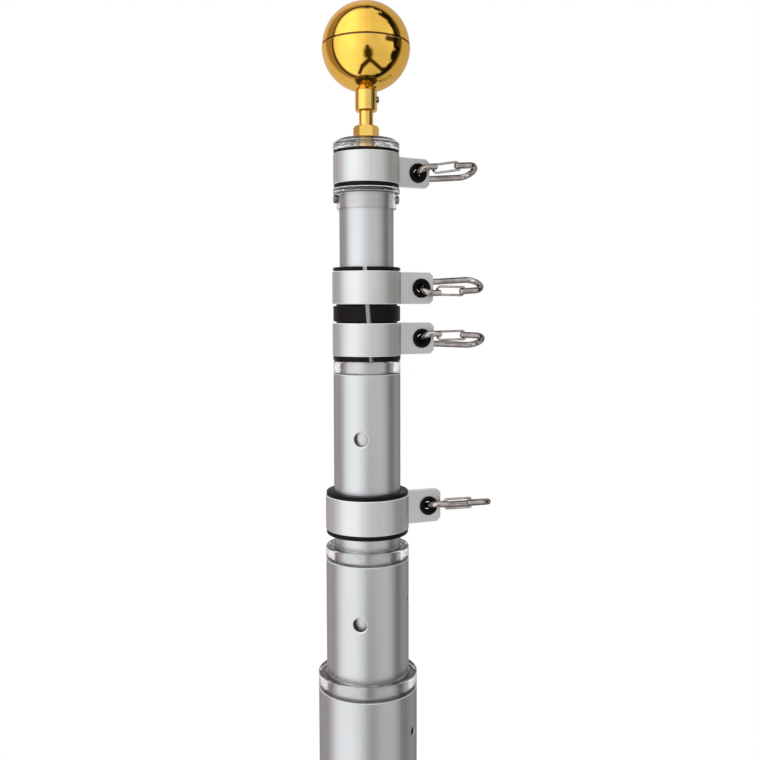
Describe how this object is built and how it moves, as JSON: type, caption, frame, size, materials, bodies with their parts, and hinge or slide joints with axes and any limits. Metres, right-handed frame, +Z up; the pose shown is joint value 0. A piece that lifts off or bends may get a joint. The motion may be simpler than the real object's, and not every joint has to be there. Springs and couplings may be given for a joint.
{
  "type": "telescoping flagpole",
  "caption": "Telescoping flagpole of nested aluminium tubes with clear collars, a gold ball on a clear truck, and swivel rings whose tabs hold snap links for flags.",
  "frame": {"origin": "middle of the base tube's foot face, where the pole stands", "axes": "+Z up along the pole, -Y the front seen in the picture, +X to its right"},
  "size_m": [0.1369, 0.0902, 1.939],
  "materials": {
    "tube_aluminium": "clear anodised, satin, with fine drawn lines along the tube",
    "ring_aluminium": "clear anodised, satin, sawn edges broken",
    "clear_plastic": "clear polycarbonate, turned and polished",
    "guide_nylon": "natural grey nylon",
    "button_steel": "plain stainless steel",
    "gold_stem": "gold anodised, turned",
    "gold_ball": "gold anodised, spun and polished",
    "black_nylon": "black moulded nylon",
    "black_rubber": "black rubber",
    "link_steel": "bright stainless steel wire",
    "gate_steel": "bright stainless spring wire"
  },
  "bodies": {
    "base": {"base_tube": "tube_aluminium", "base_foot_plug": "guide_nylon", "base_collar": "clear_plastic"},
    "lower_section": {"lower_tube": "tube_aluminium", "lower_collar": "clear_plastic", "lower_guide_cup": "guide_nylon", "lower_lock_button": "button_steel"},
    "middle_section": {"middle_tube": "tube_aluminium", "middle_collar": "clear_plastic", "middle_guide_cup": "guide_nylon", "middle_lock_button": "button_steel"},
    "top_section": {"top_tube": "tube_aluminium", "top_guide_cup": "guide_nylon", "top_lock_button": "button_steel", "truck_body": "clear_plastic", "truck_cap": "clear_plastic", "ball_stem": "gold_stem", "ball_ferrule": "gold_stem", "ball_lower_half": "gold_ball", "ball_upper_half": "gold_ball"},
    "sleeve": {"split_sleeve": "black_nylon"},
    "bottom_carrier": {"bottom_bushing": "black_nylon"},
    "top_swivel": {"top_ring": "ring_aluminium", "top_grommet": "black_rubber", "top_bushing": "black_nylon"},
    "top_link_loop": {"top_link": "link_steel"},
    "top_link_gate": {"top_gate_wire": "gate_steel"},
    "upper_swivel": {"upper_ring": "ring_aluminium", "upper_grommet": "black_rubber"},
    "upper_link_loop": {"upper_link": "link_steel"},
    "upper_link_gate": {"upper_gate_wire": "gate_steel"},
    "lower_swivel": {"lower_ring": "ring_aluminium", "lower_grommet": "black_rubber"},
    "lower_link_loop": {"lower_link": "link_steel"},
    "lower_link_gate": {"lower_gate_wire": "gate_steel"},
    "bottom_swivel": {"bottom_ring": "ring_aluminium", "bottom_grommet": "black_rubber"},
    "bottom_link_loop": {"bottom_link": "link_steel"},
    "bottom_link_gate": {"bottom_gate_wire": "gate_steel"}
  },
  "joints": [
    {"name": "lower_slide", "type": "slide", "parent": "base", "child": "lower_section", "axis": [0, 0, 1], "range_m": [0, 1.2697]},
    {"name": "middle_slide", "type": "slide", "parent": "lower_section", "child": "middle_section", "axis": [0, 0, 1], "range_m": [0, 1.375]},
    {"name": "top_slide", "type": "slide", "parent": "middle_section", "child": "top_section", "axis": [0, 0, 1], "range_m": [0, 1.5069]},
    {"name": "sleeve_slide", "type": "slide", "parent": "middle_section", "child": "sleeve", "axis": [0, 0, 1], "range_m": [0, 0.038]},
    {"name": "bottom_carrier_slide", "type": "slide", "parent": "middle_section", "child": "bottom_carrier", "axis": [0, 0, 1], "range_m": [-0.009, 0.085]},
    {"name": "top_swivel_turn", "type": "hinge", "parent": "top_section", "child": "top_swivel", "pos_m": [0, 0, 1.81735], "axis": [0, 0, 1], "continuous": true},
    {"name": "top_link_swing", "type": "hinge", "parent": "top_swivel", "child": "top_link_loop", "pos_m": [0.03845, 0.02088, 1.81735], "axis": [0.4772, -0.8788, 0], "range_deg": [-94, 84]},
    {"name": "top_link_gate_turn", "type": "hinge", "parent": "top_link_loop", "child": "top_link_gate", "pos_m": [0.07128, 0.0297, 1.82447], "axis": [0.2863, -0.3434, -0.8945], "range_deg": [0, 26]},
    {"name": "upper_swivel_turn", "type": "hinge", "parent": "sleeve", "child": "upper_swivel", "pos_m": [0, 0, 1.7295], "axis": [0, 0, 1], "continuous": true},
    {"name": "upper_link_swing", "type": "hinge", "parent": "upper_swivel", "child": "upper_link_loop", "pos_m": [0.04113, 0.01788, 1.7295], "axis": [0.3987, -0.9171, 0], "range_deg": [-31, 86]},
    {"name": "upper_link_gate_turn", "type": "hinge", "parent": "upper_link_loop", "child": "upper_link_gate", "pos_m": [0.07519, 0.0243, 1.72729], "axis": [-0.1444, 0.4659, -0.873], "range_deg": [0, 26]},
    {"name": "lower_swivel_turn", "type": "hinge", "parent": "sleeve", "child": "lower_swivel", "pos_m": [0, 0, 1.691], "axis": [0, 0, 1], "continuous": true},
    {"name": "lower_link_swing", "type": "hinge", "parent": "lower_swivel", "child": "lower_link_loop", "pos_m": [0.04158, 0.0168, 1.691], "axis": [0.3746, -0.9272, 0], "range_deg": [-87, 32]},
    {"name": "lower_link_gate_turn", "type": "hinge", "parent": "lower_link_loop", "child": "lower_link_gate", "pos_m": [0.07583, 0.02218, 1.69323], "axis": [0.1268, -0.4384, -0.8898], "range_deg": [0, 26]},
    {"name": "bottom_swivel_turn", "type": "hinge", "parent": "bottom_carrier", "child": "bottom_swivel", "pos_m": [0, 0, 1.55935], "axis": [0, 0, 1], "continuous": true},
    {"name": "bottom_link_swing", "type": "hinge", "parent": "bottom_swivel", "child": "bottom_link_loop", "pos_m": [0.04722, 0.0186, 1.55935], "axis": [0.3665, -0.9304, 0], "range_deg": [-88, 91]},
    {"name": "bottom_link_gate_turn", "type": "hinge", "parent": "bottom_link_loop", "child": "bottom_link_gate", "pos_m": [0.08165, 0.02299, 1.56054], "axis": [0.0635, -0.235, -0.9699], "range_deg": [0, 26]}
  ]
}
